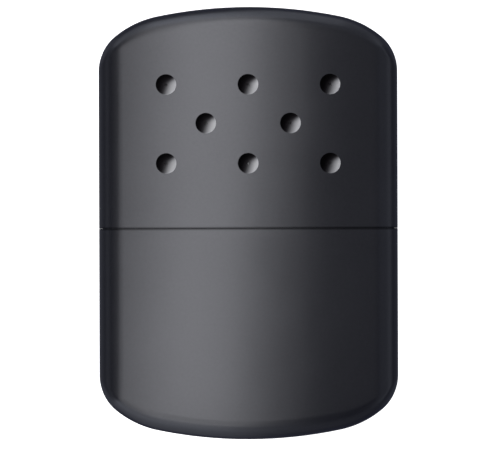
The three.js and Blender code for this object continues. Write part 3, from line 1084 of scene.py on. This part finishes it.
def make_support():
    """The pierced plate inside the mat: a grid inset into windows, its border drawn out by half a bar."""
    low, high = SUPPORT_LOW, SUPPORT_HIGH
    deselect_all()
    bpy.ops.mesh.primitive_grid_add(x_subdivisions=SUPPORT_COLUMNS, y_subdivisions=SUPPORT_ROWS, size=1)
    support = name_piece("pierced_support")
    support.scale = (high.x - low.x - SUPPORT_BAR, high.y - low.y - SUPPORT_BAR, 1)
    support.location = (0, (low.y + high.y) / 2, HALF_THICKNESS)
    settle(support)
    bpy.ops.object.mode_set(mode="EDIT")
    bpy.ops.mesh.select_mode(type="FACE")
    bpy.ops.mesh.select_all(action="SELECT")
    bpy.ops.mesh.inset(thickness=SUPPORT_BAR / 2, use_individual=True)
    bpy.ops.mesh.delete(type="FACE")
    done_editing()
    for point in support.data.vertices:
        for axis, (first, last) in enumerate(((low.x, high.x), (low.y, high.y))):
            if point.co[axis] < first + SUPPORT_BORDER:
                point.co[axis] = first
            if point.co[axis] > last - SUPPORT_BORDER:
                point.co[axis] = last
    sheet = support.modifiers.new("sheet", "SOLIDIFY")
    sheet.thickness = high.z - low.z
    sheet.offset = 0
    break_edges(support, SUPPORT_BREAK)
    apply_modifiers(support)
    smooth(support, degrees=30)
    dress(support, HEATED_STEEL, "heated_steel", "burner", "catalyst_support")


# The soft pieces


def soften(piece, grain, lump, depth):
    """Gives a piece one even skin and draws it inwards by a cloudy depth, so it stays inside its room."""
    skin = piece.modifiers.new("skin", "REMESH")
    skin.mode = "VOXEL"
    skin.voxel_size = grain
    clouds = bpy.data.textures.new("clouds", "CLOUDS")
    clouds.noise_scale = lump
    clouds.noise_depth = LUMP_LAYERS
    lumps = piece.modifiers.new("lumps", "DISPLACE")
    lumps.texture = clouds
    lumps.texture_coords = "LOCAL"
    lumps.strength = depth
    lumps.mid_level = LUMP_LEVEL
    apply_modifiers(piece)
    smooth(piece, degrees=180)


def make_mat():
    """The felt that is folded over the support, inside the hood."""
    half_short = HALF_THICKNESS - MAT_LOW.z
    edge = CAGE_EDGE - CAGE_SHEET - SOFT_GAP
    rows = [(-half_short, MAT_LOW.y), (-half_short / 2, MAT_LOW.y)]
    rows += cap_profile(half_short, edge, MAT_LOW.y, MAT_HIGH.y)
    mat = swept_oval("felt_mat", MAT_HIGH.x, half_short, rows)
    deselect_all()
    bpy.ops.mesh.primitive_cube_add(size=1)
    fold = name_piece("fold")
    fold_top = SUPPORT_HIGH.y + SOFT_GAP
    below = MAT_LOW.y - SOFT_GAP
    across = SUPPORT_HIGH.x * 2 + 2 * SOFT_GAP
    fold.scale = (across, fold_top - below, SUPPORT_HIGH.z - SUPPORT_LOW.z + 2 * SOFT_GAP)
    fold.location = (0, (fold_top + below) / 2, HALF_THICKNESS)
    settle(fold)
    cut_by(mat, fold)
    soften(mat, FELT_GRAIN, FELT_LUMP, FELT_DEPTH)
    dress(mat, GLASS_FIBRE, "glass_fibre", "burner", "catalyst_mat")


def make_wads():
    """The cotton in the tank: each wad is a lump of its own with a tufted surface."""
    for node in sorted(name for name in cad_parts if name.startswith("cotton_wad_")):
        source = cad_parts[node]
        wad = source.copy()
        wad.data = source.data.copy()
        wad.name = "cotton_lump_" + node.rsplit("_", 1)[1]
        wad.data.name = wad.name
        wad.parent = None
        for key in list(wad.keys()):
            del wad[key]
        bpy.context.scene.collection.objects.link(wad)
        weld(wad)
        soften(wad, COTTON_GRAIN, COTTON_LUMP, COTTON_DEPTH)
        dress(wad, COTTON, "cotton", "tank", node)


make_case()
make_collar()
make_neck()
make_skirt()
make_plate()
make_cage()
make_support()
make_mat()
make_wads()


# The floor, the lights and the camera

SCENE = bpy.context.scene
SCENE.view_settings.view_transform = "Standard"
SCENE.view_settings.look = "None"

FLOOR_SIZE = 8.0
FLOOR_DROP = 0.02 * MM
FLOOR_GLOW = 1.2
FLOOR_SHADE_REACH = 20 * MM
FLOOR_SHADE_SAMPLES = 8
BLACK = (0.0, 0.0, 0.0)
WHITE = (1.0, 1.0, 1.0)


def pale_floor():
    """A pale floor that glows white, with painted shadow where something stands close over it; it lights
    nothing.
    """
    deselect_all()
    bpy.ops.mesh.primitive_plane_add(size=FLOOR_SIZE, location=(0, 0, -FLOOR_DROP))
    floor = name_piece("floor")
    finish = Finish("pale_floor", roughness=0.9, emission_strength=FLOOR_GLOW)
    tone = finish.ramp(finish.noise(scale=30.0), 0.3, 0.7)
    finish.set(base_color=finish.mix(tone, (0.80, 0.80, 0.80), (0.84, 0.84, 0.84)))
    settings = {"samples": FLOOR_SHADE_SAMPLES}
    # Painted contact shadow: the floor's glow dims where ambient occlusion finds something close over it
    openness = finish.node("ShaderNodeAmbientOcclusion", settings, {"Distance": FLOOR_SHADE_REACH}, "AO")
    finish.set(emission_color=finish.mix(finish.ramp(openness, 0.05, 0.45), BLACK, WHITE))
    floor.data.materials.append(finish.material)
    floor.visible_glossy = False
    floor.visible_diffuse = False
    floor.visible_shadow = False


def softbox(name, centre, target, size, power):
    """A rectangular soft light that faces its target."""
    light = bpy.data.lights.new(name, "AREA")
    light.shape = "RECTANGLE"
    light.size, light.size_y = size
    light.energy = power
    lamp = bpy.data.objects.new(name, light)
    SCENE.collection.objects.link(lamp)
    lamp.location = centre
    lamp.rotation_euler = (Vector(target) - Vector(centre)).to_track_quat("-Z", "Y").to_euler()
    lamp.visible_camera = False
    return lamp


pale_floor()

# A softbox close overhead, turned a little and graded by its panels: left, right, near and far edges in
# millimetres, and watts
PANELS = (
    (-110, -60, -50, 100, 0.003),
    (-60, -40, -50, 100, 0.009),
    (-40, -30, -50, 100, 0.0075),
    (-30, -20, -50, 100, 0.0105),
    (-20, 0, -50, 100, 0.0255),
    (0, 10, -50, 100, 0.004),
    (10, 60, -50, 100, 0.003),
    (-100, -40, 100, 200, 0.018),
    (-40, 0, 100, 200, 0.019),
    (-70, -40, -100, -50, 0.0045),
    (-40, 5, -100, -50, 0.012),
    (-100, -40, -200, -100, 0.003),
    (-40, 0, -200, -100, 0.006),
)
PANEL_HEIGHT = 60 * MM
PANELS_TURN = math.radians(-3)
for left, right, near, far, watts in PANELS:
    middle = Vector(((left + right) / 2, (near + far) / 2, 0)) * MM
    middle.rotate(Euler((0, 0, PANELS_TURN)))
    size = ((right - left) * MM, (far - near) * MM)
    panel = softbox("overhead_panel", middle + Vector((0, 0, PANEL_HEIGHT)), middle, size, watts)
    panel.rotation_euler.z += PANELS_TURN

# Soft walls round the table, which run on below its height. A panel's first word names its wall, and its
# numbers are its place along that wall, height, width and tallness in millimetres, and watts
WALLS = {
    "far": Vector((0, 300, 0)),
    "near": Vector((0, -300, 0)),
    "left": Vector((-250, 0, 0)),
    "right": Vector((250, 0, 0)),
}
WALL_PANELS = {
    "far_outer_left": (-270, 50, 300, 100, 0.065),
    "far_left": (-60, 50, 120, 100, 0.06),
    "far_right": (50, 50, 100, 100, 0.022),
    "far_outer_right": (250, 50, 300, 100, 0.025),
    "far_high_right": (200, 200, 400, 200, 0.045),
    "far_dip_outer_left": (-270, -60, 300, 120, 0.06),
    "far_dip_left": (-60, -40, 120, 80, 0.035),
    "far_dip_right": (50, -80, 100, 160, 0.03),
    "far_dip_outer_right": (250, -80, 300, 160, 0.045),
    "near_high": (-200, 210, 400, 180, 0.16),
    "near_low": (-200, 60, 400, 120, 0.15),
    "near_dip": (-200, -50, 400, 100, 0.075),
    "near_under": (-200, -170, 400, 140, 0.055),
    "near_right": (120, 0, 240, 240, 0.02),
    "left_low": (0, 30, 600, 60, 0.03),
    "left_dip": (0, -200, 600, 300, 0.085),
    "right_low": (0, 30, 600, 60, 0.05),
    "right_dip": (0, -200, 600, 300, 0.045),
    "right_high": (0, 180, 600, 240, 0.085),
}
COOL = (0.88, 0.92, 1.0)
for name, (aside, height, width, tallness, watts) in WALL_PANELS.items():
    inwards = Vector((aside, 0, height)) * MM
    centre = inwards + WALLS[name.split("_")[0]] * MM
    softbox(name, centre, inwards, (width * MM, tallness * MM), watts).data.color = COOL

STUDIO_TINT = (0.56, 0.60, 1.0, 1.0)
STUDIO_STRENGTH = 0.094

world = bpy.data.worlds.new("studio")
world.use_nodes = True
backdrop = world.node_tree.nodes["Background"]
backdrop.inputs["Color"].default_value = STUDIO_TINT
backdrop.inputs["Strength"].default_value = STUDIO_STRENGTH
SCENE.world = world

# The camera looks straight down, turned a fraction as the photograph is
CAMERA_HEIGHT = 0.6067
CAMERA_PLACE = (0.36 * MM, -0.44 * MM)
CAMERA_TURN = math.radians(-0.18)
CAMERA_LENS = 188.6
CAMERA_SENSOR = 36

lens = bpy.data.cameras.new("camera")
lens.lens = CAMERA_LENS
lens.sensor_width = CAMERA_SENSOR
camera = bpy.data.objects.new("camera", lens)
SCENE.collection.objects.link(camera)
camera.location = (*CAMERA_PLACE, CAMERA_HEIGHT)
camera.rotation_euler = (0, 0, CAMERA_TURN)
SCENE.camera = camera
